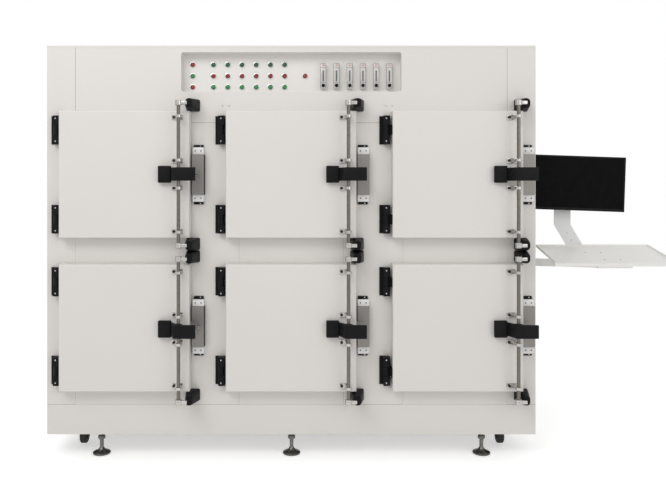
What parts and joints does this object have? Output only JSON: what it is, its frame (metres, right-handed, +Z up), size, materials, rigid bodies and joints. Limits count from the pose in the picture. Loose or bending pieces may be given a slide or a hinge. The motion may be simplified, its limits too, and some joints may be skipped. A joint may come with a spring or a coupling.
{
  "type": "laboratory oven",
  "caption": "Free-standing laboratory oven: hinged chamber doors with rod latches and magnets, recessed button and flow-meter panel, side monitor arm, levelling feet.",
  "frame": {"origin": "middle of the whole object's base, on the floor", "axes": "+X to the operator's right, +Y from the doors towards the back, +Z up"},
  "size_m": [2.9, 1.165, 1.9],
  "materials": {
    "powder_coat": "fine warm-white powder coat",
    "stainless": "brushed stainless sheet",
    "chrome": "bright plated steel",
    "black_hardware": "satin black castings",
    "steel": "zinc-plated steel",
    "magnet_grey": "satin anodised housing",
    "wool": "mineral wool slab",
    "lamp_plastic": "grey bezels and coloured caps",
    "green_plastic": "green button cap",
    "red_plastic": "red button cap",
    "clear_plastic": "acrylic meter block",
    "black_plastic": "satin black plastic",
    "rubber": "black wheel rubber",
    "arm_paint": "light grey powder coat"
  },
  "bodies": {
    "oven": {"base_frame": "powder_coat", "side_panels": "powder_coat", "top_panel": "powder_coat", "rear_panel": "powder_coat", "header_panel": "powder_coat", "front_stiles": "powder_coat", "kick_panel": "powder_coat", "chamber_fronts": "powder_coat", "chamber_liners": "stainless", "shelves": "stainless", "insulation": "wool", "fan_units": "steel", "hinge_leaves": "black_hardware", "latch_keepers": "black_hardware", "door_magnets": "magnet_grey", "control_tray": "powder_coat", "panel_lamps": "lamp_plastic", "flow_meters": "clear_plastic", "leveling_feet": "steel", "caster_mounts": "steel", "arm_bracket": "arm_paint"},
    "door_lower_left": {"door_lower_left": "powder_coat", "door_fittings_lower_left": "chrome"},
    "latch_lower_left": {"latch_lower_left": "black_hardware"},
    "door_lower_centre": {"door_lower_centre": "powder_coat", "door_fittings_lower_centre": "chrome"},
    "latch_lower_centre": {"latch_lower_centre": "black_hardware"},
    "door_lower_right": {"door_lower_right": "powder_coat", "door_fittings_lower_right": "chrome"},
    "latch_lower_right": {"latch_lower_right": "black_hardware"},
    "door_upper_left": {"door_upper_left": "powder_coat", "door_fittings_upper_left": "chrome"},
    "latch_upper_left": {"latch_upper_left": "black_hardware"},
    "door_upper_centre": {"door_upper_centre": "powder_coat", "door_fittings_upper_centre": "chrome"},
    "latch_upper_centre": {"latch_upper_centre": "black_hardware"},
    "door_upper_right": {"door_upper_right": "powder_coat", "door_fittings_upper_right": "chrome"},
    "latch_upper_right": {"latch_upper_right": "black_hardware"},
    "swing_arm": {"swing_arm": "arm_paint"},
    "keyboard_tray": {"keyboard_tray": "arm_paint"},
    "monitor": {"monitor": "black_plastic"},
    "caster_fork_left": {"caster_fork_left": "steel"},
    "front_wheel_left": {"front_wheel_left": "rubber"},
    "caster_fork_right": {"caster_fork_right": "steel"},
    "front_wheel_right": {"front_wheel_right": "rubber"},
    "rear_wheel_left": {"rear_wheel_left": "rubber"},
    "rear_wheel_right": {"rear_wheel_right": "rubber"},
    "start_button_1": {"start_button_1": "green_plastic"},
    "start_button_2": {"start_button_2": "green_plastic"},
    "start_button_3": {"start_button_3": "green_plastic"},
    "start_button_4": {"start_button_4": "green_plastic"},
    "start_button_5": {"start_button_5": "green_plastic"},
    "start_button_6": {"start_button_6": "green_plastic"},
    "stop_button_1": {"stop_button_1": "red_plastic"},
    "stop_button_2": {"stop_button_2": "red_plastic"},
    "stop_button_3": {"stop_button_3": "red_plastic"},
    "stop_button_4": {"stop_button_4": "red_plastic"},
    "stop_button_5": {"stop_button_5": "red_plastic"},
    "stop_button_6": {"stop_button_6": "red_plastic"}
  },
  "joints": [
    {"name": "door_lower_left_hinge", "type": "hinge", "parent": "oven", "child": "door_lower_left", "pos_m": [-1.397, -0.4475, 0.6115], "axis": [0, 0, -1], "range_deg": [0, 110]},
    {"name": "latch_lower_left_turn", "type": "hinge", "parent": "door_lower_left", "child": "latch_lower_left", "pos_m": [-0.823, -0.5475, 0.6115], "axis": [0, 0, 1], "range_deg": [0, 60]},
    {"name": "door_lower_centre_hinge", "type": "hinge", "parent": "oven", "child": "door_lower_centre", "pos_m": [-0.643, -0.4475, 0.6115], "axis": [0, 0, -1], "range_deg": [0, 110]},
    {"name": "latch_lower_centre_turn", "type": "hinge", "parent": "door_lower_centre", "child": "latch_lower_centre", "pos_m": [-0.069, -0.5475, 0.6115], "axis": [0, 0, 1], "range_deg": [0, 60]},
    {"name": "door_lower_right_hinge", "type": "hinge", "parent": "oven", "child": "door_lower_right", "pos_m": [0.111, -0.4475, 0.6115], "axis": [0, 0, -1], "range_deg": [0, 110]},
    {"name": "latch_lower_right_turn", "type": "hinge", "parent": "door_lower_right", "child": "latch_lower_right", "pos_m": [0.685, -0.5475, 0.6115], "axis": [0, 0, 1], "range_deg": [0, 60]},
    {"name": "door_upper_left_hinge", "type": "hinge", "parent": "oven", "child": "door_upper_left", "pos_m": [-1.397, -0.4475, 1.3055], "axis": [0, 0, -1], "range_deg": [0, 110]},
    {"name": "latch_upper_left_turn", "type": "hinge", "parent": "door_upper_left", "child": "latch_upper_left", "pos_m": [-0.823, -0.5475, 1.3055], "axis": [0, 0, 1], "range_deg": [0, 60]},
    {"name": "door_upper_centre_hinge", "type": "hinge", "parent": "oven", "child": "door_upper_centre", "pos_m": [-0.643, -0.4475, 1.3055], "axis": [0, 0, -1], "range_deg": [0, 110]},
    {"name": "latch_upper_centre_turn", "type": "hinge", "parent": "door_upper_centre", "child": "latch_upper_centre", "pos_m": [-0.069, -0.5475, 1.3055], "axis": [0, 0, 1], "range_deg": [0, 60]},
    {"name": "door_upper_right_hinge", "type": "hinge", "parent": "oven", "child": "door_upper_right", "pos_m": [0.111, -0.4475, 1.3055], "axis": [0, 0, -1], "range_deg": [0, 110]},
    {"name": "latch_upper_right_turn", "type": "hinge", "parent": "door_upper_right", "child": "latch_upper_right", "pos_m": [0.685, -0.5475, 1.3055], "axis": [0, 0, 1], "range_deg": [0, 60]},
    {"name": "arm_swing", "type": "hinge", "parent": "oven", "child": "swing_arm", "pos_m": [0.835, -0.1955, 0.88], "axis": [0, 0, 1], "range_deg": [-15, 30]},
    {"name": "tray_swivel", "type": "hinge", "parent": "swing_arm", "child": "keyboard_tray", "pos_m": [1.17, -0.2875, 0.897], "axis": [0, 0, 1], "range_deg": [-30, 60]},
    {"name": "monitor_tilt", "type": "hinge", "parent": "keyboard_tray", "child": "monitor", "pos_m": [1.023, -0.17323, 1.268], "axis": [1, 0, 0], "range_deg": [-20, 5]},
    {"name": "caster_swivel_left", "type": "hinge", "parent": "oven", "child": "caster_fork_left", "pos_m": [-1.332, -0.2775, 0.112], "axis": [0, 0, 1], "continuous": true},
    {"name": "front_wheel_left_roll", "type": "hinge", "parent": "caster_fork_left", "child": "front_wheel_left", "pos_m": [-1.332, -0.2495, 0.0455], "axis": [1, 0, 0], "continuous": true},
    {"name": "caster_swivel_right", "type": "hinge", "parent": "oven", "child": "caster_fork_right", "pos_m": [0.682, -0.2775, 0.112], "axis": [0, 0, 1], "continuous": true},
    {"name": "front_wheel_right_roll", "type": "hinge", "parent": "caster_fork_right", "child": "front_wheel_right", "pos_m": [0.682, -0.2495, 0.0455], "axis": [1, 0, 0], "continuous": true},
    {"name": "rear_wheel_left_roll", "type": "hinge", "parent": "oven", "child": "rear_wheel_left", "pos_m": [-1.332, 0.4005, 0.0455], "axis": [1, 0, 0], "continuous": true},
    {"name": "rear_wheel_right_roll", "type": "hinge", "parent": "oven", "child": "rear_wheel_right", "pos_m": [0.682, 0.4005, 0.0455], "axis": [1, 0, 0], "continuous": true},
    {"name": "start_button_1_press", "type": "slide", "parent": "oven", "child": "start_button_1", "axis": [0, 1, 0], "range_m": [0, 0.0025], "stiffness_N_per_m": 800},
    {"name": "start_button_2_press", "type": "slide", "parent": "oven", "child": "start_button_2", "axis": [0, 1, 0], "range_m": [0, 0.0025], "stiffness_N_per_m": 800},
    {"name": "start_button_3_press", "type": "slide", "parent": "oven", "child": "start_button_3", "axis": [0, 1, 0], "range_m": [0, 0.0025], "stiffness_N_per_m": 800},
    {"name": "start_button_4_press", "type": "slide", "parent": "oven", "child": "start_button_4", "axis": [0, 1, 0], "range_m": [0, 0.0025], "stiffness_N_per_m": 800},
    {"name": "start_button_5_press", "type": "slide", "parent": "oven", "child": "start_button_5", "axis": [0, 1, 0], "range_m": [0, 0.0025], "stiffness_N_per_m": 800},
    {"name": "start_button_6_press", "type": "slide", "parent": "oven", "child": "start_button_6", "axis": [0, 1, 0], "range_m": [0, 0.0025], "stiffness_N_per_m": 800},
    {"name": "stop_button_1_press", "type": "slide", "parent": "oven", "child": "stop_button_1", "axis": [0, 1, 0], "range_m": [0, 0.0025], "stiffness_N_per_m": 800},
    {"name": "stop_button_2_press", "type": "slide", "parent": "oven", "child": "stop_button_2", "axis": [0, 1, 0], "range_m": [0, 0.0025], "stiffness_N_per_m": 800},
    {"name": "stop_button_3_press", "type": "slide", "parent": "oven", "child": "stop_button_3", "axis": [0, 1, 0], "range_m": [0, 0.0025], "stiffness_N_per_m": 800},
    {"name": "stop_button_4_press", "type": "slide", "parent": "oven", "child": "stop_button_4", "axis": [0, 1, 0], "range_m": [0, 0.0025], "stiffness_N_per_m": 800},
    {"name": "stop_button_5_press", "type": "slide", "parent": "oven", "child": "stop_button_5", "axis": [0, 1, 0], "range_m": [0, 0.0025], "stiffness_N_per_m": 800},
    {"name": "stop_button_6_press", "type": "slide", "parent": "oven", "child": "stop_button_6", "axis": [0, 1, 0], "range_m": [0, 0.0025], "stiffness_N_per_m": 800}
  ]
}
